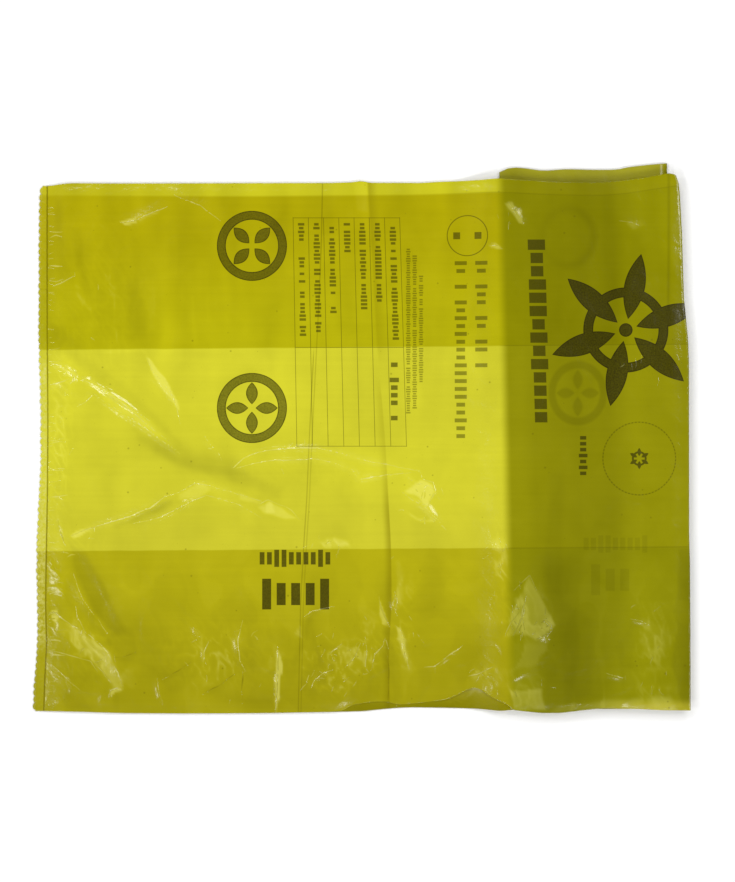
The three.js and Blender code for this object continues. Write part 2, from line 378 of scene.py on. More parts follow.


# Soft patches of painted highlight (tone above 0) and painted shade (tone below 0), as corners in pixels of
# the photograph, tone from -1 to 1, and softness in millimetres.
LIGHT_AND_SHADE_PATCHES = [
    ([(402, 492), (408, 488), (421, 480), (433, 485), (434, 492), (427, 507), (419, 497),
      (411, 494)], 0.8, 1.5),
    ([(406, 512), (419, 517), (436, 519), (431, 523), (419, 522), (410, 517)], 0.6, 2),
    ([(258, 508), (269, 501), (283, 507), (300, 520), (285, 519), (263, 514)], 0.6, 2),
    ([(240, 493), (262, 501), (262, 506), (240, 500)], 0.35, 2),
    ([(277, 645), (283, 667), (281, 680), (279, 695), (276, 713), (274, 700), (276, 672)], 1.0, 1.0),
    ([(379, 597), (384, 608), (390, 627), (382, 624), (378, 610)], 0.9, 1.0),
    ([(391, 640), (401, 668), (403, 700), (393, 702), (391, 660)], -0.3, 2),
    ([(395, 560), (401, 560), (404, 600), (397, 600)], 0.2, 2),
    ([(395, 626), (401, 629), (405, 642), (409, 670), (404, 656), (398, 640)], 0.7, 1.2),
    ([(320, 541), (333, 537), (350, 540), (352, 547), (336, 549), (322, 547)], 0.5, 2.5),
    ([(490, 538), (506, 534), (509, 560), (506, 590), (499, 604), (494, 580)], 0.34, 4),
    ([(528, 574), (546, 606), (556, 626), (535, 639), (520, 634), (503, 637), (516, 600)], 0.5, 2),
    ([(512, 640), (545, 640), (558, 656), (542, 690), (502, 696), (510, 664)], 0.22, 5),
    ([(549, 470), (564, 470), (561, 598), (592, 618), (592, 695), (564, 702), (560, 653), (555, 618),
      (541, 580)], -0.3, 4),
    ([(678, 548), (676, 590), (672, 610), (677, 627), (672, 643), (671, 667), (681, 708), (694, 708),
      (694, 548)], -0.5, 1.5),
    ([(628, 600), (668, 596), (670, 690), (642, 692), (628, 640)], 0.14, 6),
    ([(618, 640), (623, 640), (624, 690), (619, 690)], -0.2, 2.5),
    ([(509, 690), (541, 687), (547, 709), (514, 712)], 0.55, 2),
    ([(56, 200), (63, 200), (63, 246), (59, 240), (54, 221)], -0.32, 3),
    ([(74, 229), (84, 229), (84, 267), (95, 307), (88, 306), (76, 275), (72, 246)], -0.34, 4),
    ([(128, 282), (137, 279), (147, 313), (147, 338), (131, 341), (127, 313)], -0.26, 4),
    ([(103, 273), (113, 273), (127, 307), (127, 346), (113, 346), (113, 313)], 0.2, 4),
    ([(74, 273), (80, 270), (97, 307), (91, 313), (76, 298)], 0.28, 2.5),
    ([(48, 320), (62, 326), (82, 349), (48, 350)], -0.36, 4),
    ([(119, 221), (136, 218), (136, 223), (125, 226)], 0.8, 1.2),
    ([(137, 219), (158, 210), (160, 212), (139, 222)], 0.4, 1.5),
    ([(62, 224), (84, 222), (120, 222), (102, 233), (80, 228)], 0.14, 4),
    ([(165, 226), (172, 222), (176, 262), (170, 268)], -0.14, 4),
    ([(204, 262), (209, 262), (211, 325), (206, 320)], 0.16, 3),
    ([(88, 378), (114, 394), (138, 412), (167, 435), (181, 454), (167, 444), (132, 418), (101, 398),
      (81, 381)], 0.12, 1.4),
    ([(60, 350), (76, 350), (122, 380), (168, 426), (182, 446), (150, 421), (104, 388)], -0.34, 4),
    ([(132, 426), (182, 459), (239, 470), (285, 488), (280, 500), (224, 479), (178, 468),
      (138, 442)], -0.36, 4),
    ([(178, 493), (202, 482), (212, 489), (201, 497), (178, 501)], 0.4, 2),
    ([(112, 527), (172, 499), (175, 506), (138, 520), (116, 529)], -0.34, 1.8),
    ([(70, 535), (79, 531), (91, 528), (82, 537), (74, 539)], 0.8, 1.2),
    ([(266, 501), (271, 500), (275, 513), (265, 514)], 0.45, 1.5),
    ([(146, 357), (150, 358), (164, 376), (178, 402), (180, 412), (173, 402), (159, 386)], 0.8, 1.0),
    ([(140, 352), (104, 354), (104, 350), (146, 349), (148, 358)], 0.25, 2),
    ([(53, 611), (62, 618), (78, 629), (95, 641), (109, 650), (119, 672), (125, 688), (114, 688),
      (101, 670), (92, 661), (73, 645), (53, 626)], 0.4, 2),
    ([(64, 583), (73, 577), (100, 625), (123, 654), (112, 649), (84, 627), (66, 604)], -0.3, 2.5),
    ([(70, 545), (86, 552), (102, 579), (116, 611), (130, 633), (116, 636), (101, 618), (89, 583),
      (73, 565)], -0.36, 3),
    ([(75, 579), (82, 593), (96, 615), (102, 624), (89, 611), (78, 597)], 0.45, 1.4),
    ([(50, 651), (92, 662), (101, 678), (89, 697), (66, 678), (50, 663)], -0.2, 3),
    ([(110, 697), (112, 690), (118, 687), (125, 690), (118, 692), (113, 695)], 0.7, 1),
    ([(50, 610), (57, 608), (60, 616), (56, 622), (51, 620)], 1.0, 1.2),
    ([(145, 280), (156, 278), (158, 331), (146, 334)], 0.16, 3),
    ([(190, 296), (194, 296), (199, 346), (193, 346)], 0.2, 2),
    ([(294, 634), (304, 641), (305, 629), (300, 625)], 0.3, 1.5),
    ([(282, 660), (290, 636), (304, 641), (300, 668), (290, 690)], -0.2, 3),
    ([(352, 182), (362, 180), (368, 183), (369, 214), (356, 214)], 0.22, 3),
    ([(624, 222), (640, 220), (646, 228), (630, 232)], 0.35, 2.5),
    ([(666, 178), (677, 182), (680, 300), (670, 300), (667, 220)], 0.14, 2.5),
    ([(560, 702), (600, 699), (640, 696), (670, 694), (676, 712), (540, 714)], 0.4, 4),
    ([(600, 690), (640, 684), (672, 680), (676, 700), (600, 704)], 0.12, 5),
    ([(503, 204), (511, 203), (516, 212), (522, 208), (520, 216), (524, 226), (518, 224),
      (510, 214)], 0.75, 1.2),
    ([(487, 246), (494, 243), (503, 250), (496, 250)], 0.6, 1.3),
]


def patch_tone(x, y, corners, softness):
    """1 inside a patch and 0 outside it, softly."""
    points = np.array([(float(bag_x(px)), float(bag_y(py))) for px, py in corners])
    inside = np.zeros(np.shape(x), bool)
    nearest = np.full(np.shape(x), 1e9)
    for (ax, ay), (bx, by) in zip(points, np.roll(points, -1, axis=0), strict=True):
        crosses = (ay > y) != (by > y)
        slope = (bx - ax) / (by - ay) if by != ay else 0.0
        inside ^= crosses & (x < ax + slope * (y - ay))
        length = math.hypot(bx - ax, by - ay)
        ux, uy = (bx - ax) / length, (by - ay) / length
        t = np.clip((x - ax) * ux + (y - ay) * uy, 0, length)
        nearest = np.minimum(nearest, np.hypot(x - ax - t * ux, y - ay - t * uy))
    return step(np.where(inside, nearest, -nearest), -softness * 0.6, softness)


# Busy parts of the film, painted with the highlight and shade of crumpled film and strewn with small pale
# crests: centre, spread and number of those crests, in pixels of the photograph.
LIT_CRUMPLES = [
    (419, 488, 10, 7, 6),
    (425, 518, 10, 4, 4),
    (92, 650, 20, 24, 8),
    (215, 655, 44, 24, 8),
    (325, 655, 16, 14, 10),
    (330, 684, 18, 10, 10),
    (366, 652, 18, 24, 8),
    (402, 620, 12, 36, 6),
    (334, 543, 14, 4, 8),
    (499, 566, 5, 24, 10),
    (482, 672, 14, 6, 5),
    (518, 612, 9, 18, 10),
    (545, 628, 8, 7, 6),
    (520, 690, 20, 12, 4),
    (652, 640, 16, 30, 6),
    (652, 690, 18, 6, 3),
    (300, 470, 60, 16, 2),
    (100, 300, 34, 60, 4),
    (85, 540, 16, 12, 4),
    (60, 440, 8, 60, 10),
    (640, 366, 12, 8, 5),
    (508, 212, 6, 7, 4),
]


def painted_light_and_shade(x, y):
    """Painted light and shade of the film, about -1 to 1: painted highlight along the creases and on the
    light patches, painted shade in the valleys and on the dark patches, and the painted light and dark of
    crumpled facets.
    """
    shade = np.zeros(np.shape(x))
    for points, rise, width in CREASES:
        d, share = along(x, y, points)
        fade = np.clip(np.sin(math.pi * np.clip(share, 0.03, 0.97)) * 1.5, 0, 1)
        shade = shade + 0.2 * min(rise, 1.6) * fade * np.exp(-((d / (width * 0.8)) ** 2))
    for points, depth, width in VALLEYS:
        d, share = along(x, y, points)
        fade = np.clip(np.sin(math.pi * np.clip(share, 0.03, 0.97)) * 1.5, 0, 1)
        shade = shade + 1.5 * depth * fade * np.exp(-((d / (width * 0.75)) ** 2))
    wander_x = x + 1.6 * lattice(x, y, 14, 61)
    wander_y = y + 1.6 * lattice(x, y, 14, 62)
    for corners, tone, softness in LIGHT_AND_SHADE_PATCHES:
        shade = shade + tone * patch_tone(wander_x, wander_y, corners, softness)
    bent_x, bent_y = x + 4 * lattice(x, y, 17, 81), y + 4 * lattice(x, y, 17, 82)
    # Painted highlight and shade of crumpled film, laid on the busy parts listed above.
    crushed = crests(bent_x + bent_y * 0.3, bent_y, (6.5, 13), 83, 3.4) ** 1.5 - 0.22
    for cx, cy, spread_x, spread_y, count in LIT_CRUMPLES:
        off_x, off_y = (x - bag_x(cx)) / (spread_x * PX * 1.3), (y - bag_y(cy)) / (spread_y * PX * 1.3)
        shade = shade + 0.07 * count * crushed * np.exp(-(off_x**2) - off_y**2)
    # Painted light and shade of broad facets, stronger in the low band.
    facets = step(lattice(bent_x, bent_y, (24, 36), 91), -0.03, 0.03)
    facets = facets - step(lattice(bent_x, bent_y, (44, 60), 92), -0.03, 0.03)
    shade = shade + facets * (0.05 + 0.13 * step(-y, 84, 120)) * step(x, 4, 20)
    return np.clip(shade, -1, 1)


def relief(x, y):
    """Height of the top run's upper film over its flat lie. It never goes under zero."""
    bend_x = x + 9 * lattice(x, y, 46, 11) + 3 * lattice(x, y, 15, 12)
    bend_y = y + 9 * lattice(x, y, 46, 13) + 3 * lattice(x, y, 15, 14)
    low_band = step(-y, 70, 110)
    middle = step(82 - np.abs(y), -10, 20)
    restless = 0.35 + 0.35 * middle + 0.75 * low_band
    swell = 0.55 * lattice(x, y, (85, 60), 21) + 0.35 * lattice(x, y, (34, 48), 22)
    folds = 0.9 * crests(bend_x, bend_y, (58, 44), 31, 4.5) ** 2 * step(lattice(x, y, 70, 32), -0.05, 0.35)
    small = 0.35 * crests(bend_x, bend_y, (21, 17), 41, 4.0) ** 1.5 * step(lattice(x, y, 38, 42), 0.0, 0.35)
    height = 0.8 + swell * (0.6 + 0.5 * low_band) + restless * (folds + small)
    for points, rise, width in CREASES + VALLEYS:
        height = height + crease(x, y, points, rise, width)
    past_weld = np.clip(x - WELD_LINE, 0, 99)
    gather = np.exp(-past_weld / 14) * (1 - np.exp(-past_weld / 2.5))
    pucker = crests(x * 0.12, y + 0.6 * lattice(x, y, 9, 52), (8, 5.2), 51, 2.6) ** 1.4
    height = height + 0.6 * gather * pucker * step(lattice(0 * x, y, 28, 53), -0.25, 0.3)
    settle = step(x, WELD_LINE, 34) * step(HALF_WIDTH - np.abs(y), 0, 10) * step(RIGHT_FOLD - x, -2, 10)
    keep = 0.12 + 0.88 * settle
    near_weld = step(x, WELD_LINE, 10)
    return np.clip(height, 0.05, 6) * keep * near_weld


# The bag's middle line in the XZ plane, from the weld to the mouth.
def level(n):
    return BODY / 2 + n * PITCH


def middle_line():
    """Points, normals, panel number and distance folded under, at every station."""
    ramp_start = LEFT_FOLD - RAMP
    low, top = level(0), level(FOLDS)
    weld_end = 30
    near_weld = np.arange(TOOTH_ROOT + 0.12, weld_end, WELD_STEP)
    beyond = np.arange(weld_end, RIGHT_FOLD, FINE_STEP)
    fine = np.concatenate([[TOOTH_ROOT], near_weld, beyond, [RIGHT_FOLD]])
    rise = step(fine, ramp_start, LEFT_FOLD)
    points = [(x, low + (top - low) * r, 1, 0.0) for x, r in zip(fine, rise, strict=True)]
    folded = 0.0
    for i in range(FOLDS):
        at_right = i % 2 == 0
        fold_x = RIGHT_FOLD if at_right else LEFT_FOLD
        side = 1 if at_right else -1
        centre = level(FOLDS - i) - FOLD_RADIUS
        for k in range(1, 8):
            turn = math.pi * k / 8
            reach = FOLD_RADIUS * math.sin(turn)
            panel = i + 1 if k < 4 else i + 2
            height = centre + FOLD_RADIUS * math.cos(turn)
            points.append((fold_x + side * reach, height, panel, folded + k * 0.3))
        last = i == FOLDS - 1
        run = LENGTH - TOP_RUN - (FOLDS - 1) * PANEL - REACH if last else RIGHT_FOLD - LEFT_FOLD
        for t in np.linspace(0, run, 22):
            points.append((fold_x - side * t, level(FOLDS - i - 1), i + 2, folded + t + 2.5))
        folded += PANEL
    line = np.array(points)
    tangent = np.gradient(line[:, :2], axis=0)
    tangent /= np.hypot(*tangent.T)[:, None]
    normal = np.column_stack([-tangent[:, 1], tangent[:, 0]])
    return line, normal, len(fine)


def spaced(low, high, pitch):
    return np.linspace(low, high, max(2, round(abs(high - low) / pitch) + 1))


def tube_section(front_pitch, other_pitch):
    """Round the tube once: distance across, which film, and how high in the body's thickness.

    Films: 0 front panel outside, 1 inside of the front wing, 2 inside of the back wing, 3 back panel
    outside.
    """
    edge = HALF_WIDTH
    rows = []
    slit = BODY / 2 - WING

    def add(across, film, lift):
        rows.extend((a, film, lift) for a in across)

    add(spaced(-edge, edge, other_pitch), 3, -BODY / 2)
    add(spaced(edge, TUCK, other_pitch), 2, -slit)
    add(spaced(TUCK, edge, other_pitch), 1, slit)
    front = spaced(edge, -edge, front_pitch)
    front = np.concatenate([[edge, edge - 0.5], front[1:-1], [0.5 - edge, -edge]])
    add(front, 0, BODY / 2)
    add(spaced(-edge, -TUCK, other_pitch), 1, slit)
    add(spaced(-TUCK, -edge, other_pitch), 2, -slit)
    return np.array(rows)


def lean_of(x0, across, panel):
    """How far the uneven edges of the folds carry a point to the right."""
    lean_left = left_fold(across) - (LEFT_FOLD - REACH)
    lean_right = right_fold(across) - TOP_RUN - 2.5 * (panel > 2.5) * step(across, 60, 200)
    lean_right = np.where(panel > 4.5, -3.0, lean_right)
    toward_right = np.clip((x0 - LEFT_FOLD) / (RIGHT_FOLD - LEFT_FOLD), 0, 1)
    toward_left = np.clip(x0 / LEFT_FOLD, 0, 1)
    on_top = weld_edge(across) * (1 - toward_left) + lean_left * toward_left
    folded = lean_left * (1 - toward_right) + lean_right * toward_right
    return np.where(x0 < LEFT_FOLD, on_top, folded)


def between_edges(x, share, panel, folded, wing):
    """The place across the bag, from one uneven edge of its ply to the other."""
    top_edge = np.where(wing, back_top(x), front_top(x))
    low_edge = np.where(wing, back_low(x), front_low(x))
    y_top = low_edge + (top_edge - low_edge) * share
    shy = np.select([panel < 2.5, panel < 3.5, panel < 4.5], [15.0, 13.0, 10.0], 0.0)
    shy = shy + 1.2 * lattice(x, 0 * x + panel * 31, 55, 71) + np.where(wing, 6.0, 0.0)
    creep = DRIFT * folded
    run_low = -HALF_WIDTH + 4 + creep * 0.4 + 1.5 * lattice(x, 0 * x + panel * 17, 60, 72)
    y_run = run_low + (run_top(x) - np.clip(shy, 0, 99) - run_low) * share
    return np.where(panel == 1, y_top, y_run)


def place(line, normal, section):
    """Vertex positions in bag millimetres, stations by section points."""
    x0, z0, panel, folded = (line[:, i][:, None] for i in range(4))
    nx, nz = normal[:, 0][:, None], normal[:, 1][:, None]
    across, film, lift = section.T
    across, film, lift = across[None], film[None], lift[None]
    share = (across + HALF_WIDTH) / (2 * HALF_WIDTH)
    thin = np.where(panel == 1, 0.42 + 0.58 * step(x0, WELD_LINE, 22), 1.0)
    up = lift * thin
    x = x0 + nx * up + lean_of(x0, across, panel)
    y = between_edges(x, share, panel, folded, film >= 1.5)
    on_front = (panel == 1) * (film == 0)
    groove = 0.09 * np.exp(-(((x - weld_seam(across)) / 0.8) ** 2)) * on_front
    z = z0 + nz * up - BODY / 2 * (1 - thin) + relief(x, y) * on_front - groove
    return np.stack([x, y, z], axis=-1)


def film_mesh():
    line, normal, fine = middle_line()
    section_fine = tube_section(FINE_STEP, HIDDEN_STEP)
    section_coarse = tube_section(COARSE_STEP, HIDDEN_STEP)
    top = place(line[: fine + 3], normal[: fine + 3], section_fine)
    run = place(line[fine + 3 :], normal[fine + 3 :], section_coarse)
    return top, run, section_fine, section_coarse, line, fine + 3


def sweep_faces(start, stations, ring):
    i, j = np.meshgrid(np.arange(stations - 1), np.arange(ring), indexing="ij")
    a = start + i * ring + j
    b = start + i * ring + (j + 1) % ring
    return np.stack([a, b, b + ring, a + ring], axis=-1).reshape(-1, 4)


def bridge(ring_a, ring_b, key_a, key_b):
    """Triangles between two closed rings whose points are keyed by their share of the way round."""
    faces = []
    i = j = 0
    while i < len(ring_a) or j < len(ring_b):
        next_a = key_a[i + 1] if i + 1 < len(ring_a) else (1.0 if i < len(ring_a) else 9)
        next_b = key_b[j + 1] if j + 1 < len(ring_b) else (1.0 if j < len(ring_b) else 9)
        a0, b0 = ring_a[i % len(ring_a)], ring_b[j % len(ring_b)]
        if i < len(ring_a) and next_a <= next_b:
            faces.append((a0, ring_a[(i + 1) % len(ring_a)], b0))
            i += 1
        else:
            faces.append((a0, ring_b[(j + 1) % len(ring_b)], b0))
            j += 1
    return faces


def ring_share(section):
    """Share of the way round for each section point, equal at the corners of both sections."""
    across, film, _ = section.T
    keys = np.zeros(len(section))
    corners = [0]
    for k in range(1, len(section)):
        if film[k] != film[k - 1]:
            corners.append(k)
    corners.append(len(section))
    for n, (a, b) in enumerate(zip(corners[:-1], corners[1:], strict=True)):
        lengths = np.abs(np.diff(across[a:b]))
        run = np.concatenate([[0], np.cumsum(lengths)]) / max(lengths.sum(), 1e-9)
        keys[a:b] = (n + 0.98 * run) / (len(corners) - 1)
    return keys


def cap(section, offset, flip):
    """Faces that close an end: front film to back film, column by column across the tube."""
    across, film, _ = section.T
    faces = []
    order = {f: [k for k in range(len(section)) if film[k] == f] for f in (0, 1, 2, 3)}
    front = sorted(order[0], key=lambda k: across[k])
    back = sorted(order[3], key=lambda k: across[k])

    def strip(upper, lower):
        i = j = 0
        while i + 1 < len(upper) or j + 1 < len(lower):
            take_upper = j + 1 >= len(lower) or (
                i + 1 < len(upper) and across[upper[i + 1]] <= across[lower[j + 1]]
            )
            if take_upper:
                faces.append((upper[i], upper[i + 1], lower[j]))
                i += 1
            else:
                faces.append((upper[i], lower[j + 1], lower[j]))
                j += 1

    for sign in (-1, 1):
        upper = sorted((k for k in order[1] if across[k] * sign > 0), key=lambda k: across[k])
        lower = sorted((k for k in order[2] if across[k] * sign > 0), key=lambda k: across[k])
        outer_front = [k for k in front if across[k] * sign >= TUCK - 1e-6]
        outer_back = [k for k in back if across[k] * sign >= TUCK - 1e-6]
        tuck_front = min(front, key=lambda k: abs(across[k] - sign * TUCK))
        tuck_back = min(back, key=lambda k: abs(across[k] - sign * TUCK))
        outer_front = sorted(set(outer_front) | {tuck_front}, key=lambda k: across[k])
        outer_back = sorted(set(outer_back) | {tuck_back}, key=lambda k: across[k])
        strip(outer_front, upper)
        strip(lower, outer_back)
        if sign < 0:
            left = (tuck_front, upper[-1], lower[-1], tuck_back)
        else:
            right = (tuck_front, upper[0], lower[0], tuck_back)

    def between(row, first, last):
        return [first, *(k for k in row if across[first] < across[k] < across[last]), last]

    strip(between(front, left[0], right[0]), between(back, left[3], right[3]))
    faces.append((left[0], left[3], left[2]))
    faces.append((left[0], left[2], left[1]))
    faces.append((right[0], right[2], right[3]))
    faces.append((right[0], right[1], right[2]))
    turned = [tuple(reversed(f)) if flip else f for f in faces]
    return [tuple(offset + k for k in f) for f in turned]


def ring_spread(section):
    """Place of each section point across the bake's sheet, front panel first, with the closing point's."""
    across, film, _ = section.T
    outer = np.abs(np.diff(np.append(across, across[0]))) + 0.4
    front = (film == 0) & (np.append(film[1:], film[0]) == 0)
    weight = np.where(front, outer * 2.6, outer)
    run = np.concatenate([[0.0], np.cumsum(weight)])
    return 0.003 + 0.994 * run / run[-1]


def line_spread(line, fine):
    """Place of each station along the bake's sheet, the top run taking most of it."""
    steps = np.hypot(*np.diff(line[:, :2], axis=0).T)
    weight = np.where(np.arange(len(steps)) < fine, steps * 2.4, steps)
    run = np.concatenate([[0.0], np.cumsum(weight)])
    return 0.003 + 0.994 * run / run[-1]


def sheet_quads(along_sheet, first, stations, sheet):
    """Places on the bake's sheet of the corners of a swept run's faces."""
    i, j = np.meshgrid(np.arange(stations - 1), np.arange(len(sheet) - 1), indexing="ij")
    low, high = along_sheet[first + i], along_sheet[first + i + 1]
    left, right = sheet[j], sheet[j + 1]
    return np.stack([low, left, low, right, high, right, high, left], axis=-1).reshape(-1, 2)


def point_values(mesh, name, values):
    attribute = mesh.attributes.new(name, "FLOAT", "POINT")
    attribute.data.foreach_set("value", np.array(values, np.float32))


def film_object():
    top, run, section_fine, section_coarse, line, split = film_mesh()
    ring_f, ring_c = len(section_fine), len(section_coarse)
    points = np.concatenate([top.reshape(-1, 3), run.reshape(-1, 3)])
    start_run = top.shape[0] * ring_f
    along_sheet = line_spread(line, split)
    sheet_f, sheet_c = ring_spread(section_fine), ring_spread(section_coarse)

    faces = [tuple(f) for f in sweep_faces(0, top.shape[0], ring_f)]
    faces += [tuple(f) for f in sweep_faces(start_run, run.shape[0], ring_c)]
    last_fine = [(top.shape[0] - 1) * ring_f + k for k in range(ring_f)]
    first_coarse = [start_run + k for k in range(ring_c)]
    extra = bridge(last_fine, first_coarse, ring_share(section_fine), ring_share(section_coarse))
    extra += cap(section_fine, 0, False)
    extra += cap(section_coarse, start_run + (run.shape[0] - 1) * ring_c, True)
    faces += extra

    place_u = np.repeat(along_sheet[: top.shape[0]], ring_f), np.repeat(along_sheet[top.shape[0] :], ring_c)
    place_v = np.tile(sheet_f[:-1], top.shape[0]), np.tile(sheet_c[:-1], run.shape[0])
    spot = np.column_stack([np.concatenate(place_u), np.concatenate(place_v)])
    uvs = [
        sheet_quads(along_sheet, 0, top.shape[0], sheet_f),
        sheet_quads(along_sheet, top.shape[0], run.shape[0], sheet_c),
        spot[np.array(extra).ravel()],
    ]

    mesh = bpy.data.meshes.new("film")
    mesh.from_pydata(to_frame(points).tolist(), [], faces)
    mesh.update()
    mesh.polygons.foreach_set("use_smooth", [True] * len(mesh.polygons))
    sheet = mesh.uv_layers.new(name="OFBake")
    sheet.data.foreach_set("uv", np.concatenate(uvs).astype(np.float32).ravel())
    on_front = (section_fine[:, 1] == 0).astype(np.float32)
    flag = np.concatenate([np.tile(on_front, top.shape[0]), np.zeros(run.shape[0] * ring_c, np.float32)])
    on_top = int(np.count_nonzero(line[:, 2] == 1))
    flag[on_top * ring_f :] = 0
    point_values(mesh, "printed", flag)
    # The front film's painted light and shade, kept as the point attribute shade.
    point_values(mesh, "shade", painted_light_and_shade(points[:, 0], points[:, 1]).astype(np.float32) * flag)
    film = bpy.data.objects.new("film", mesh)
    bpy.context.scene.collection.objects.link(film)
    return film


film = film_object()


# Heights along the weld from which longer gathers run, in pixels of the photograph.
LONG_GATHERS = (
    232, 238, 266, 281, 349, 361, 441, 444, 468, 470, 482, 497, 571, 577, 581, 590, 594, 612, 628, 640, 655,
)


def random_creases():
    """Short seeded creases in pixels: the weld's gathers, then small pale crests, partly painted highlight,
    in the busy parts.
    """
    rng = np.random.default_rng(8)
    for _ in range(70):
        y = rng.uniform(200, 704)
        start, length = rng.uniform(47.5, 50), rng.uniform(2.5, 7)
        tilt = rng.uniform(-0.3, 0.3)
        middle = (start + length / 2, y + tilt * length / 2)
        yield [(start, y), middle, (start + length, y + tilt * length)], 0.15
    for y in LONG_GATHERS:
        start, length = rng.uniform(48, 50), rng.uniform(9, 20)
        tilt, bow = rng.uniform(-0.3, 0.3), rng.uniform(-2.5, 2.5)
        middle = (start + length / 2, y + tilt * length / 2 + bow)
        yield [(start, y), middle, (start + length, y + tilt * length)], rng.uniform(0.3, 0.9)
    for x, y, spread_x, spread_y, count in LIT_CRUMPLES:
        for _ in range(count):
            cx, cy = rng.normal(x, spread_x), rng.normal(y, spread_y)
            angle, length = rng.normal(1.9, 0.7), rng.uniform(4, 9)
            dx, dy = math.cos(angle) * length / 2, math.sin(angle) * length / 2
            bow = rng.uniform(-0.25, 0.25)
            middle = (cx + dy * bow, cy - dx * bow)
            yield [(cx - dx, cy - dy), middle, (cx + dx, cy + dy)], rng.uniform(0.02, 0.3)


def crest_path(pixels, seed):
    """Distances, places and sideways directions along a crease, a little unsteady."""
    xs, ys = np.array(pixels, float).T
    knots = np.column_stack([bag_x(xs), bag_y(ys)])
    run = np.concatenate([[0], np.cumsum(np.hypot(*np.diff(knots, axis=0).T))])
    at = np.linspace(0, run[-1], max(4, int(run[-1] / RIDGE_STEP)))
    path = np.column_stack([np.interp(at, run, knots[:, 0]), np.interp(at, run, knots[:, 1])])
    path[:, 0] += 0.7 * lattice(at, 0 * at, 9, seed)
    path[:, 1] += 0.7 * lattice(at, 0 * at + 5, 9, seed)
    heading = np.gradient(path, axis=0)
    heading /= np.hypot(*heading.T)[:, None]
    return at, path, np.column_stack([-heading[:, 1], heading[:, 0]])


def ridge_points(surface, pixels, rise, seed):
    """Four points at each step of a ridge: where they lie, what they are lifted by, how pale they are. The
    paleness is whitened film with a painted highlight; below zero it is painted shade.
    """
    at, path, side = crest_path(pixels, seed)
    swell = np.sqrt(np.sin(math.pi * np.linspace(0.04, 0.96, len(at))))
    patchy = np.clip(0.75 + 1.1 * lattice(at, 0 * at + 9, 11, seed), 0.25, 1.4)
    strength = min(abs(rise), 2.0)
    half = (0.6 + 0.25 * strength) * swell * patchy
    # Painted highlight along the crest; a negative rise paints shade instead.
    light = math.copysign(1, rise) * (0.14 + 0.4 * strength) * swell * patchy
    rows = []
    for point, across, width, bright in zip(path, side, half, light, strict=True):
        for offset, lift in ((-width, 0.0), (0.0, 0.06), (width, 0.0), (0.0, -0.3)):
            spot = point + across * offset
            from_above = Vector(to_frame([*spot, HIGH_ABOVE]))
            hit = surface.ray_cast(from_above, Vector((0, 0, -1)))[0]
            rows.append((spot, hit, lift, bright if offset == 0 else 0.0))
    return rows


def ridge_faces(start, count):
    """The faces of a closed ridge with four points at each of its steps."""
    faces = []
    for k in range(count - 1):
        a = start + 4 * k
        for m in range(4):
            n = (m + 1) % 4
            faces.append((a + m, a + 4 + m, a + 4 + n, a + n))
    end = start + 4 * (count - 1)
    faces.append((start, start + 1, start + 2, start + 3))
    faces.append((end + 3, end + 2, end + 1, end))
    return faces


def crease_lines(surface):
    """The creases' crests as thin ridges that lie on the surface, pale as whitened film with a painted
    highlight, and dark as painted shade along the folds pressed in.
    """
    rng = np.random.default_rng(4)
    marked = [(points, rise) for points, rise, _ in CREASES if rise > 0.5]
    pressed = [(points, -1.6) for points in FOLDS_IN]
    faint = [(points, 0.35) for points in HAIRLINES]
    vertices, faces, pale = [], [], []
    for pixels, rise in [*marked, *pressed, *faint, *random_creases()]:
        rows = ridge_points(surface, pixels, rise, int(rng.integers(1, 9999)))
        if any(hit is None for _, hit, _, _ in rows):
            continue
        faces += ridge_faces(len(vertices), len(rows) // 4)
        vertices += [(*spot, hit.z * 1000 + lift) for spot, hit, lift, _ in rows]
        pale += [bright for _, _, _, bright in rows]
    mesh = bpy.data.meshes.new("crease_lines")
    mesh.from_pydata(to_frame(vertices).tolist(), [], faces)
    mesh.update()
    point_values(mesh, "whitened", pale)
    point_values(mesh, "printed", np.ones(len(pale)))
    lines = bpy.data.objects.new("crease_lines", mesh)
    bpy.context.scene.collection.objects.link(lines)
    return lines


surface = BVHTree.FromPolygons([v.co for v in film.data.vertices], [p.vertices for p in film.data.polygons])
lines = crease_lines(surface)


# The torn rim of the weld, grown by Geometry Nodes.
def rim_mesh():
    """The weld's edge as one chain of edges."""
    line, normal, _ = middle_line()
    section = tube_section(2.0, HIDDEN_STEP)
    inner = (section[:, 1] == 0) & (np.abs(section[:, 0]) < HALF_WIDTH - 3)
    rim = place(line[:2], normal[:2], section)[0][inner]
    rim[:, 2] = 0.27
    mesh = bpy.data.meshes.new("rim_path")
    mesh.from_pydata(to_frame(rim).tolist(), [(k, k + 1) for k in range(len(rim) - 1)], [])
    return mesh


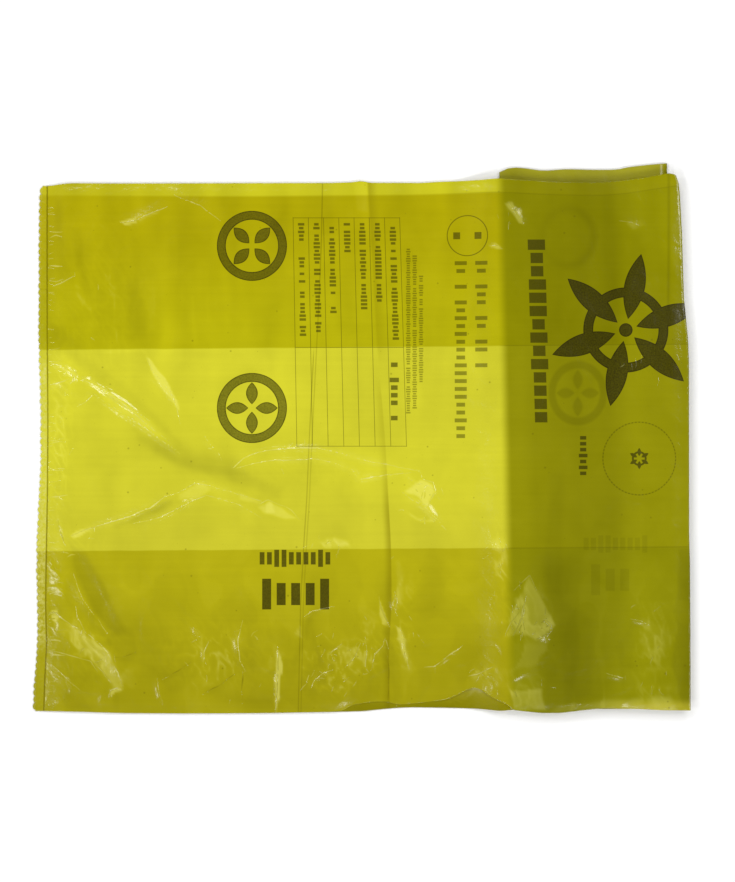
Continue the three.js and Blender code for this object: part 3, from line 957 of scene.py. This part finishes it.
def rim_tree():
    tree = bpy.data.node_groups.new("torn_rim", "GeometryNodeTree")
    face = tree.interface
    face.new_socket("Geometry", in_out="OUTPUT", socket_type="NodeSocketGeometry")
    face.new_socket("Path", in_out="INPUT", socket_type="NodeSocketGeometry")
    for name in ("Pitch", "Reach", "Width", "Thickness"):
        face.new_socket(name, in_out="INPUT", socket_type="NodeSocketFloat")
    face.new_socket("Seed", in_out="INPUT", socket_type="NodeSocketInt")
    face.new_socket("Finish", in_out="INPUT", socket_type="NodeSocketMaterial")

    def add(kind, settings=None, **values):
        node = tree.nodes.new(kind)
        for key, value in (settings or {}).items():
            setattr(node, key, value)
        for key, value in values.items():
            socket = node.inputs[int(key[1:])] if key[0] == "_" else node.inputs[key.replace("_", " ")]
            if isinstance(value, bpy.types.NodeSocket):
                tree.links.new(value, socket)
            else:
                socket.default_value = value
        return node

    given = add("NodeGroupInput").outputs
    path = add("GeometryNodeMeshToCurve", Mesh=given["Path"])
    by_length = {"mode": "LENGTH"}
    points = add("GeometryNodeCurveToPoints", by_length, Curve=path.outputs[0], Length=given["Pitch"])
    turn = add("FunctionNodeAlignRotationToVector", {"axis": "Y"}, Vector=points.outputs["Tangent"])
    tooth = add("GeometryNodeMeshCylinder", {"fill_type": "NGON"}, Vertices=14, Radius=1.0, Depth=1.0)
    vary = add("FunctionNodeRandomValue", {"data_type": "FLOAT"}, Seed=given["Seed"], _2=0.82, _3=1.12)
    reach = add("ShaderNodeMath", {"operation": "MULTIPLY"}, _0=given["Reach"], _1=vary.outputs[1])
    size = add("ShaderNodeCombineXYZ", X=reach.outputs[0], Y=given["Width"], Z=given["Thickness"])
    teeth = add(
        "GeometryNodeInstanceOnPoints",
        Points=points.outputs["Points"],
        Instance=tooth.outputs["Mesh"],
        Rotation=turn.outputs[0],
        Scale=size.outputs[0],
    )
    real = add("GeometryNodeRealizeInstances", Geometry=teeth.outputs[0])
    done = add("GeometryNodeSetMaterial", Geometry=real.outputs[0], Material=given["Finish"])
    add("NodeGroupOutput", Geometry=done.outputs[0])
    return tree


def grown(name, mesh, tree, values):
    """The plain mesh that a tree makes of a mesh."""
    seed = bpy.data.objects.new(name, mesh)
    bpy.context.scene.collection.objects.link(seed)
    modifier = seed.modifiers.new("grow", "NODES")
    modifier.node_group = tree
    for item in tree.interface.items_tree:
        if item.in_out == "INPUT" and item.name in values:
            modifier[item.identifier] = values[item.name]
    made = bpy.data.meshes.new_from_object(seed.evaluated_get(bpy.context.evaluated_depsgraph_get()))
    made.name = name
    seed.modifiers.remove(modifier)
    seed.data = made
    return seed


# Shader maths as plain expressions.
class Term:
    """A shader value that takes part in arithmetic, each step adding a Math node."""

    def __init__(self, finish, socket):
        self.finish, self.socket = finish, socket

    def math(self, operation, *others):
        values = dict(enumerate((self, *others)))
        return self.finish.node("ShaderNodeMath", {"operation": operation}, values)

    def __add__(self, other):
        return self.math("ADD", other)

    def __radd__(self, other):
        return self.math("ADD", other)

    def __sub__(self, other):
        return self.math("SUBTRACT", other)

    def __rsub__(self, other):
        return self.finish.node("ShaderNodeMath", {"operation": "SUBTRACT"}, {0: other, 1: self})

    def __mul__(self, other):
        return self.math("MULTIPLY", other)

    def __rmul__(self, other):
        return self.math("MULTIPLY", other)

    def __truediv__(self, other):
        return self.math("DIVIDE", other)

    def __neg__(self):
        return self.math("MULTIPLY", -1.0)

    def __abs__(self):
        return self.math("ABSOLUTE")


class Finish:
    """A material whose nodes are made one by one."""

    def __init__(self, name):
        self.material = bpy.data.materials.new(name)
        self.material.use_nodes = True
        self.tree = self.material.node_tree
        self.surface = self.tree.nodes["Principled BSDF"]

    def node(self, kind, settings=None, values=None, out=0):
        made = self.tree.nodes.new(kind)
        for key, value in (settings or {}).items():
            if key == "stops":
                self.set_stops(made.color_ramp, value)
            else:
                setattr(made, key, value)
        for key, value in (values or {}).items():
            self.feed(made.inputs[key], value)
        return Term(self, made.outputs[out])

    def set_stops(self, ramp, stops):
        while len(ramp.elements) < len(stops):
            ramp.elements.new(0.5)
        for element, (position, grey) in zip(ramp.elements, stops, strict=True):
            element.position = position
            element.color = (grey, grey, grey, 1)

    def feed(self, socket, value):
        if isinstance(value, Term):
            self.tree.links.new(value.socket, socket)
        else:
            socket.default_value = value

    def noise(self, place, scale, detail=2.0, rough=0.5, bend=0.0):
        values = {"Vector": place, "Scale": scale, "Detail": detail, "Roughness": rough, "Distortion": bend}
        return self.node("ShaderNodeTexNoise", {"noise_dimensions": "3D"}, values)

    def stretched(self, place, factors):
        return self.node("ShaderNodeVectorMath", {"operation": "MULTIPLY"}, {0: place, 1: factors})

    def mix(self, share, first, second):
        return self.node("ShaderNodeMix", {"data_type": "RGBA"}, {0: share, 6: first, 7: second}, out=2)

    def tint(self, colour, share):
        """A colour times a number."""
        grey = self.node("ShaderNodeCombineXYZ", {}, {0: share, 1: share, 2: share})
        return self.node("ShaderNodeVectorMath", {"operation": "MULTIPLY"}, {0: colour, 1: grey})


DAYLIGHT = 1.12  # what the lights make of a white surface lying flat
# Share of the way across the folded run, and how light it is there.
RUN_LIGHT = [
    (0.0, 0.8), (0.1, 0.78), (0.17, 0.71), (0.4, 0.665), (0.55, 0.69), (0.72, 0.8), (0.9, 0.82),
    (1.0, 0.76),
]
RUN_LIGHT_LOW = [
    (0.0, 0.8), (0.12, 0.75), (0.24, 0.58), (0.36, 0.58), (0.5, 0.7), (0.75, 0.84), (0.9, 0.8),
    (1.0, 0.6),
]


def srgb(red, green, blue):
    """A colour as the photograph shows it, to a surface's own colour."""

    def straight(v):
        v /= 255
        return v / 12.92 if v <= 0.04045 else ((v + 0.055) / 1.055) ** 2.4

    return (straight(red) / DAYLIGHT, straight(green) / DAYLIGHT, straight(blue) / DAYLIGHT, 1.0)


def lesser(a, b):
    return a.math("MINIMUM", b)


def greater(a, b):
    return a.math("MAXIMUM", b)


def held(a):
    return a.math("MAXIMUM", 0.0).math("MINIMUM", 1.0)


def ramp(value, low, high):
    """0 at low and 1 at high, smoothly."""
    settings = {"interpolation_type": "SMOOTHSTEP", "clamp": True}
    limits = {0: value, 1: low, 2: high, 3: 0.0, 4: 1.0}
    return value.finish.node("ShaderNodeMapRange", settings, limits)


def far(x, y):
    return (x * x + y * y).math("SQRT")


def hashed(cell, seed):
    """A number from 0 to 1 for each whole number."""
    return ((cell * 12.9898 + seed * 3.71).math("SINE") * 43758.547).math("FRACT")


# Figures of the print as distances inside their outline, in millimetres. Positive is ink.
def block(x, y, width, height):
    return lesser(width / 2 - abs(x), height / 2 - abs(y))


def hoop(x, y, radius, thickness):
    return thickness / 2 - abs(far(x, y) - radius)


def petals(x, y, count, inner, outer, width, turn=0.0):
    """Pointed petals in a circle."""
    sector = 2 * math.pi / count
    angle = y.math("ARCTAN2", x) + (turn + 20 * math.pi)
    local = angle.math("MODULO", sector) - sector / 2
    r = far(x, y)
    reach, side = r * local.math("COSINE"), r * local.math("SINE")
    middle, half = (inner + outer) / 2, (outer - inner) / 2
    share = (reach - middle) / half
    return lesser((1 - share * share) * (width / 2) - abs(side), half - abs(reach - middle))


def marks(run, across, length, height, cell, seed, fill=0.72, gap=0.16):
    """A row of plain blocks, as ink from 0 to 1."""
    t = run / cell
    index = t.math("FLOOR")
    within = t - index - 0.5
    wide = (fill / 2 - abs(within)) * cell
    tall = height * (0.36 + 0.14 * hashed(index, seed + 5).math("GREATER_THAN", 0.55)) - abs(across)
    whole = (index * cell + cell * (0.5 + fill / 2)).math("LESS_THAN", length)
    whole = whole * index.math("GREATER_THAN", -0.5)
    kept = hashed(index, seed).math("GREATER_THAN", gap)
    return held(lesser(wide, tall) / 0.35 + 0.5) * kept * whole


def inked(distance, soft=0.35):
    return held(distance / soft + 0.5)


def attribute(f, name):
    return f.node("ShaderNodeAttribute", {"attribute_name": name}, {}, out=2)


def traced(f, value, low, high, curve):
    """A mesh curve as a shader value, in millimetres."""
    count = 31
    steps = [low + (high - low) * k / (count - 1) for k in range(count)]
    heights = [float(curve(t)) for t in steps]
    base, reach = min(heights), max(max(heights) - min(heights), 0.1)
    stops = [(k / (count - 1), (height - base) / reach) for k, height in enumerate(heights)]
    drawn = f.node("ShaderNodeValToRGB", {"stops": stops}, {0: (value - low) / (high - low)})
    return drawn * reach + base


def traced_across(f, v, curve):
    """How far a place lies to the right of a line that runs across the bag."""
    return v.x - traced(f, v.y, -HALF_WIDTH, HALF_WIDTH, curve)


class FilmValues:
    """Places in bag millimetres, noises and masks that the parts of the film's finish share."""

    def __init__(self, f):
        self.where = f.node("ShaderNodeTexCoord", {}, {}, out=3)
        parts = f.node("ShaderNodeSeparateXYZ", {}, {0: self.where})
        self.x = parts * 1000 - (CAD_LOW[0] * 1000 + RIM_REACH)
        self.y = Term(f, parts.socket.node.outputs[1]) * 1000 - (CAD_LOW[1] * 1000 + HALF_WIDTH)
        self.printed = attribute(f, "printed")
        self.shade = attribute(f, "shade")
        self.whitened = attribute(f, "whitened")
        self.fine = f.noise(self.where, 900.0, 1.0)
        self.cloud = f.noise(self.where, 9.0, 2.0, 0.55)
        self.patch = f.noise(self.where, 26.0, 2.0, 0.6, 0.4)
        self.streak = f.noise(f.stretched(self.where, (6.0, 260.0, 1.0)), 1.0, 2.0, 0.6)
        # Long soft noise: it wobbles the edges and lines, and its light and dark stand in for painted shade
        # where the film lifts.
        self.long_noise = f.noise(f.stretched(self.where, (38.0, 7.0, 1.0)), 1.0, 1.5, 0.5, 0.3)
        self.back_edge = traced(f, self.x, 0, TOP_RUN + 6, back_top)
        soft_y = self.y + (self.long_noise - 0.5) * 1.0
        self.upper = ramp(soft_y - self.x * UPPER_TUCK_SLOPE, 78.4, 80.0)
        self.lower = ramp(self.x * LOWER_TUCK_SLOPE - soft_y, 84.2, 85.4)
        self.strip = ramp(self.y - self.back_edge, -1.3, 1.3)
        self.over_run = ramp(self.x + self.y * 0.0217 - 380.6, -4.4, 5.4)


def ply_colours(f, v):
    """Light where two films lie on each other, darker over the tucked sides."""
    top_shade = f.mix(ramp(v.y, TUCK, 200), srgb(183, 177, 10), srgb(176, 166, 4))
    low_shade = f.mix(ramp(-v.y, 95, 210), srgb(180, 172, 17), srgb(162, 154, 13))
    mid_shade = f.mix(ramp(-v.y, 10, 80), srgb(210, 206, 46), srgb(204, 199, 46))
    strip_shade = f.mix(ramp(v.x, 20, 190), srgb(187, 180, 22), srgb(202, 197, 31))
    body = f.mix(v.upper, mid_shade, top_shade)
    body = f.mix(v.lower, body, low_shade)
    return f.mix(v.strip, body, strip_shade)


def folded_run_colours(f, v, body):
    """The folded run under the top run darkens it."""
    run_shade = f.mix(v.upper, srgb(140, 137, 6), srgb(134, 131, 1))
    run_shade = f.mix(v.lower, run_shade, srgb(134, 132, 5))
    run_shade = f.mix(v.strip * 0.8, run_shade, srgb(141, 137, 4))
    share = (v.x - 380.0) / 155.0 + (v.long_noise - 0.5) * 0.12
    light = f.node("ShaderNodeValToRGB", {"stops": RUN_LIGHT}, {0: share})
    low_light = f.node("ShaderNodeValToRGB", {"stops": RUN_LIGHT_LOW}, {0: share})
    light = light + (low_light - light) * ramp(-v.y, 78, 100)
    run_shade = f.tint(run_shade, light * 1.38)
    hem = ramp(-v.y, 203, 211) * ramp(v.x, 440, 500)
    run_shade = f.mix(hem * 0.8, run_shade, srgb(176, 168, 40))
    return f.mix(v.over_run, body, run_shade)


def ply_edges(f, v, body):
    """The edges of the plies that lie under the front film or beyond it, with painted shade along the edges
    and painted light on the strip beyond the front film.
    """
    # Painted shade along the hidden back wing's edge.
    second_edge = held(1 - abs(v.y - v.back_edge) / 0.7) * ramp(v.x, 300, 400)
    body = f.mix(second_edge * 0.3, body, srgb(100, 96, 4))
    front_edge = traced(f, v.x, 0, TOP_RUN + 6, front_top)
    # The ply's own colour beyond the front edge, painted lighter where the top run's edge shades it.
    beyond = ramp(v.y - front_edge, 0.2, 1.2) * ramp(v.x, 370, 376)
    body = f.mix(beyond * 0.75, body, srgb(160, 155, 14))
    # The inner ply's own darker colour, with painted shade where the front film's edge lifts over it.
    inner_ply = (1 - v.printed) * ramp(-v.y, 150, 190) * ramp(v.x, 180, 240)
    body = f.mix(inner_ply * 0.8, body, srgb(158, 150, 0))
    # Painted shade along the mouth end's edge under the top run.
    panel_edge = held(1 - abs(v.x - 512.2 - v.long_noise * 2) / 2.0) * ramp(v.y, 60, 130)
    return f.mix(panel_edge * 0.35, body, srgb(104, 100, 4))


def folds_across(f, v, body):
    """Painted shade along a thin pair of fold lines and beside a soft fold right across the bag, and along
    the lines of the two tucks.
    """
    off = traced_across(f, v, thin_fold)
    first = held(1 - abs(off) / 0.8) * (0.7 + 0.6 * ramp(v.y, 110, 190))
    second = held(1 - abs(off + 2.2) / 0.75) * ramp(-v.y, -84, -70)
    body = f.mix((first + second) * (0.24 + 0.5 * v.long_noise), body, srgb(112, 102, 4))
    off = traced_across(f, v, soft_fold)
    above = ramp(off, -0.8, 1.6) * (1 - ramp(off, 0.0, 10.0)) * ramp(v.y, 60, 90)
    above = above * (1.0 + 0.9 * ramp(v.y, 120, 200))
    below = ramp(-off, -0.5, 0.6) * (1 - ramp(-off, 0.0, 7.0)) * ramp(-v.y, -60, -40)
    below = below * (0.8 + 0.4 * ramp(-v.y, 10, 26) + ramp(-v.y, 20, 60))
    body = f.mix((above + below) * 0.28, body, srgb(140, 130, 4))
    # Painted shade along the tucks' inner folds where the folded run lies under them.
    tucks = held(1 - abs(v.y - v.x * UPPER_TUCK_SLOPE - 79.4) / 0.6)
    tucks = tucks + held(1 - abs(v.y - v.x * LOWER_TUCK_SLOPE + 84.8) / 0.6)
    return f.mix(tucks * v.over_run * 0.4, body, srgb(96, 92, 4))


def film_tint_and_painted_light(f, v, body):
    """Clouds and streaks in the film's colour, standing partly for its own uneven tint and partly for
    painted shade where it lifts, and the painted highlight and painted shade that its creases bring.
    """
    fade = 1 + (v.cloud - 0.5) * 0.2 + (v.patch - 0.5) * 0.22 + (v.streak - 0.5) * 0.09
    fade = fade + (v.long_noise - 0.5) * (0.14 + 0.26 * ramp(v.y, 0, 90))
    body = f.tint(body, fade + v.shade * 0.22)
    # Toward pale yellow as a painted highlight where the shade attribute is high.
    pale = ramp(v.shade, 0.1, 1.0) * (0.34 - 0.13 * v.over_run)
    return f.mix(pale, body, srgb(232, 228, 122))


# The print: plain figures, rings, rules and rows of blocks.
def badge(x, y, turn):
    """A bold ring with four petals in it."""
    return greater(hoop(x, y, 24.9, 7.2), petals(x, y, 4, 3.0, 21.0, 9.5, turn))


def rosette(x, y):
    """Six long petals across a ring, with a dot in the middle."""
    figure = greater(hoop(x, y, 30.5, 8.0), petals(x, y, 6, 9.0, 63.0, 17.0, 0.2))
    return greater(figure, 5.5 - far(x, y))


def bold_figures(v):
    """Ink of the two badges and the rosette, strongest along their outlines."""
    badge_x, upper_y, lower_y = 174.9, 163.9, 31.9
    rosette_x, rosette_y = 478.6, 95.1
    badges = badge(v.x - badge_x, v.y - upper_y, 0.0)
    badges = greater(badges, badge(v.x - badge_x, v.y - lower_y, math.pi / 4))
    bold = greater(badges, rosette(v.x - rosette_x, v.y - rosette_y))
    outline = 1 - ramp(bold, 0.25, 1.1)
    weight = 0.76 + 0.14 * ramp(v.x, 380, 400) + (v.fine - 0.5) * 0.14
    return inked(bold) * held(weight + outline * 0.22)


def ruled_grid(x, y):
    """A grid of thin rules, with a row of blocks in each column and a short row beside it."""
    left, top, low, cross_rule = 208.4, 187, 0.8, 81.2
    columns, pitch, rule = 7.0, 12.4, 0.22
    lane = (x - left + (y - top) * 0.0165) / (pitch + (top - y) * 0.0019)
    column = lane.math("FLOOR")
    rules = rule - abs(lane - (lane + 0.5).math("FLOOR")) * pitch
    for height in (cross_rule, top - 0.3, low):
        rules = greater(rules, rule - abs(y - height))
    sides = lesser(lane + 0.03, columns + 0.03 - lane) * pitch
    framed = held(lesser(sides, lesser(top + 0.1 - y, y - low + 0.4)) / 0.3 + 0.5)
    rules = inked(rules, 0.3) * framed * 0.7

    lengths = (95.0, 94.8, 74.8, 25.2, 72.6, 66.7, 97.0)
    length = sum(span * column.math("COMPARE", k, 0.5) for k, span in enumerate(lengths))
    seed = 7.0 + column * 13.0
    rows = marks(top - 4.0 - y, (lane - column - 0.52) * pitch, length, 5.2, 3.1, seed, 0.66, 0.12)
    sides = lesser(lane, columns - lane) * pitch
    inside = held(lesser(sides, lesser(top - 0.1 - y, y - low + 0.3)) / 0.3 + 0.5)
    short_row = marks(70.2 - y, x - 290.8, 50.0, 7.6, 6.2, 21.0, 0.6, 0.22)
    return greater(greater(rules, rows * inside * 0.72), short_row * 0.78)


def fine_rows(x, y):
    """Three rows of small blocks beside the grid."""
    left, top, pitch = 299.6, 162.0, 5.2
    lane = (x - left) / pitch
    row = lane.math("FLOOR")
    squared = row * row
    across = (lane - row - 0.5) * pitch
    seed = 31.0 + row * 9
    rows = marks(top - y - squared * 5.5, across, 138.0 - squared * 11.5, 3.6, 1.9, seed, 0.62, 0.1)
    return rows * held(lesser(lane, 3.0 - lane) * 20) * 0.55


def middle_rows(x, y):
    """Two rows of middling blocks, under a thin ring with two squares in it."""
    left, top, pitch = 336.6, 153.0, 16.6
    ring_x, ring_y = 350.2, 172.1
    lane = (x - left) / pitch
    row = lane.math("FLOOR")
    across = (lane - row - 0.5) * pitch
    rows = marks(top - y, across, 148.0 - row * 43.0, 9.8, 6.4, 41.0 + row * 7, 0.5, 0.2)
    rows = rows * held(lesser(lane, 2.0 - lane) * 20) * 0.62
    ring = inked(hoop(x - ring_x, y - ring_y, 16.3, 0.7), 0.4)
    squares = inked(block(abs(x - ring_x) - 8.6, y - ring_y, 5.6, 5.6), 0.4)
    return greater(rows, greater(ring, squares) * 0.72)


def dotted_ring(x, y):
    """A small rosette inside a wide ring of dots."""
    turns = y.math("ARCTAN2", x) * (66 / (2 * math.pi))
    dots = lesser(hoop(x, y, 29.5, 0.8), 0.28 - abs(turns.math("FRACT") - 0.5))
    small_rosette = greater(hoop(x, y, 5.2, 1.6), petals(x, y, 6, 2.0, 8.6, 3.0, 0.0))
    return greater(inked(dots, 0.5) * 0.6, inked(small_rosette, 0.4) * 0.8)


def bold_rows(x, y):
    """The long row at the right, two bold rows at the lower edge and a small one by the rosette."""
    down = 169.7 - y
    long_row = marks(down, x - 405.9 - down * 0.0272, 150.8, 14.0, 10.77, 3.0, 0.78, 0.07) * 0.78
    small_row = marks(10.0 - y, x - 444.0, 37.0, 7.0, 4.8, 51.0, 0.6, 0.1) * 0.8
    low_row = marks(x - 180.2, y + 90.5, 59.2, 14.0, 5.95, 61.0, 0.66, 0.0) * 0.85
    lowest_row = marks(x - 181.0, y + 119.6, 58.0, 25.0, 11.8, 64.0, 0.62, 0.0) * 0.9
    return greater(greater(long_row, small_row), greater(low_row, lowest_row))


def all_ink(v):
    """Every printed figure as ink from 0 to 1, on the front film only."""
    ring_x, ring_y = 489.5, -9.2
    rows = greater(bold_rows(v.x, v.y), ruled_grid(v.x, v.y))
    rows = greater(rows, greater(fine_rows(v.x, v.y), middle_rows(v.x, v.y)))
    rows = greater(rows, dotted_ring(v.x - ring_x, v.y - ring_y))
    return held(greater(bold_figures(v), rows) * (0.94 + (v.fine - 0.5) * 0.18)) * v.printed


def print_seen_through(v):
    """The same print shows faintly through the top run where it is folded under."""
    x, y = v.x - 263.2, v.y - 12.0
    upper_x, upper_y = (x - 168.4) * 1.1, y - 158.5
    lower_x, lower_y = (x - 176.4) * 1.1, y - 31.9
    upper_ring = hoop(upper_x, upper_y, 23.0, 6.4) / 5.0
    lower_ring = hoop(lower_x, lower_y, 23.0, 6.4)
    lower_ring = greater(lower_ring, petals(lower_x, lower_y, 4, 3.0, 19.0, 8.5, math.pi / 4)) / 2.4
    upper_ink = held(upper_ring + 0.5) * (0.06 + 0.1 * ramp(x, 150, 190))
    rings = greater(upper_ink, held(lower_ring + 0.5) * 0.24)
    rows = marks(x - 180.2, y + 90.5, 54.0, 14.0, 5.95, 61.0, 0.7, 0.0)
    rows = greater(rows, marks(x - 185.0, y + 119.6, 36.0, 25.0, 11.8, 64.0, 0.62, 0.0))
    return greater(rings, rows * 0.14) * v.over_run * v.printed


def weld_and_rim(f, v, body):
    """The painted shade in the weld's groove, and the frayed, paler film beyond it."""
    from_weld = traced_across(f, v, weld_seam)
    fray = f.noise(v.where, 420.0, 2.0, 0.7)
    outer = ramp(-from_weld, 0.4, 1.0)
    rim_light = ramp(80 - v.y, 0, 20) * (1 - ramp(-v.y, 148, 172))
    pale = (0.04 + 0.4 * rim_light) * ramp(fray, 0.3, 0.7)
    pale = pale + ramp(fray, 0.62, 0.75) * (0.08 + 0.24 * rim_light)
    body = f.mix(outer * pale, body, srgb(226, 223, 130))
    # Painted shade along the weld's shallow groove.
    seam = held(1.15 - abs(from_weld + (fray - 0.5) * 1.0) / 0.78)
    return f.mix(seam * (0.5 + 0.5 * v.patch), body, srgb(104, 94, 0))


def specks(f, v, body):
    """Small specks of dirt in the film."""
    grit = f.node("ShaderNodeTexVoronoi", {"voronoi_dimensions": "2D"}, {"Vector": v.where, "Scale": 60.0})
    size = 0.018 + 0.05 * ramp(f.noise(v.where, 61.0, 0.0), 0.55, 0.75)
    dot = held(1 - grit / size) * ramp(f.noise(v.where, 23.0, 0.0), 0.42, 0.5)
    return f.mix(dot * 0.55, body, srgb(92, 84, 10))


def crest_whitening_and_shade(f, v, body):
    """Pale crests, partly whitened film and partly painted highlight, and the painted shade along the folds
    pressed in.
    """
    body = f.mix(held(v.whitened) * 0.85, body, srgb(238, 235, 150))
    return f.mix(held(-v.whitened) * 0.75, body, srgb(106, 98, 2))


def film_bump(f, v):
    """The fine unevenness of thin film, in metres."""
    grain = f.noise(v.where, 150.0, 3.0, 0.55, 0.8) * 0.00016
    waves = f.noise(v.where, 52.0, 2.0, 0.5, 1.2) * 0.0005
    height = grain + waves + v.streak * 0.00004
    return f.node("ShaderNodeBump", {}, {"Strength": 1.0, "Distance": 1.0, "Height": height})


def film_finish():
    f = Finish("film")
    v = FilmValues(f)
    body = ply_colours(f, v)
    for layer in (folded_run_colours, ply_edges, folds_across, film_tint_and_painted_light):
        body = layer(f, v, body)
    ink = all_ink(v)
    body = f.mix(print_seen_through(v), body, srgb(70, 66, 4))
    body = f.mix(ink, body, srgb(40, 34, 3))
    for layer in (weld_and_rim, specks, crest_whitening_and_shade):
        body = layer(f, v, body)
    f.feed(f.surface.inputs["Base Color"], body)
    f.feed(f.surface.inputs["Roughness"], 0.26 - v.printed * 0.16 + v.patch * 0.14 + ink * 0.06)
    f.feed(f.surface.inputs["Normal"], film_bump(f, v))
    return f.material


finish = film_finish()
film.data.materials.append(finish)
lines.data.materials.append(finish)
rim = grown(
    "torn_rim",
    rim_mesh(),
    rim_tree(),
    {"Pitch": 0.0055, "Reach": 0.0021, "Width": 0.0029, "Thickness": 0.0004, "Seed": 5, "Finish": finish},
)

for piece in (film, lines, rim):
    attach(piece, "root")
    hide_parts("film_bag")

# Floor, light and camera.
FLOOR_HALF = 6.0
FLOOR_DROP = 0.0006  # the floor lies this far under the bag
SOFTBOX_DISTANCE, SOFTBOX_SIZE, SOFTBOX_POWER = 2.0, 0.55, 8.3
LENS, SENSOR = 100, 36

corners = [(-1, -1), (1, -1), (1, 1), (-1, 1)]
floor_mesh = bpy.data.meshes.new("floor")
floor_points = [(x * FLOOR_HALF, y * FLOOR_HALF, -FLOOR_DROP) for x, y in corners]
floor_mesh.from_pydata(floor_points, [], [(0, 1, 2, 3)])
floor = bpy.data.objects.new("floor", floor_mesh)
bpy.context.scene.collection.objects.link(floor)
paint = bpy.data.materials.new("floor_paint")
paint.use_nodes = True
painted = paint.node_tree.nodes["Principled BSDF"].inputs
painted["Base Color"].default_value = (0.92, 0.92, 0.92, 1)
painted["Roughness"].default_value = 0.9
floor_mesh.materials.append(paint)
floor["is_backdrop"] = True


def softbox(name, place, size, power):
    data = bpy.data.lights.new(name, "AREA")
    data.shape = "SQUARE"
    data.size = size
    data.energy = power
    light = bpy.data.objects.new(name, data)
    light.location = place
    light.rotation_mode = "QUATERNION"
    light.rotation_quaternion = (-Vector(place)).to_track_quat("-Z", "Y")
    bpy.context.scene.collection.objects.link(light)
    return light


for number in range(8):
    around = math.radians(22 + 45 * number)
    down = math.radians((40, 50)[number % 2])
    level_reach = SOFTBOX_DISTANCE * math.sin(down)
    height = SOFTBOX_DISTANCE * math.cos(down)
    spot = (level_reach * math.cos(around), level_reach * math.sin(around), height)
    softbox(f"softbox_{number}", spot, SOFTBOX_SIZE, SOFTBOX_POWER)

world = bpy.data.worlds.new("studio")
bpy.context.scene.world = world
world.use_nodes = True
world.node_tree.nodes["Background"].inputs["Color"].default_value = (0.9, 0.9, 0.9, 1)
world.node_tree.nodes["Background"].inputs["Strength"].default_value = 0.02

camera_data = bpy.data.cameras.new("camera")
camera_data.lens = LENS
camera_data.sensor_width = SENSOR
camera = bpy.data.objects.new("camera", camera_data)
centre = to_frame([float(bag_x(PHOTO_WIDTH / 2)), float(bag_y(PHOTO_HEIGHT / 2)), 0.0])
distance = PHOTO_HEIGHT * PX / 1000 / SENSOR * LENS
camera.location = (centre[0], centre[1], distance)
bpy.context.scene.collection.objects.link(camera)
bpy.context.scene.camera = camera
bpy.context.scene.view_settings.view_transform = "Standard"
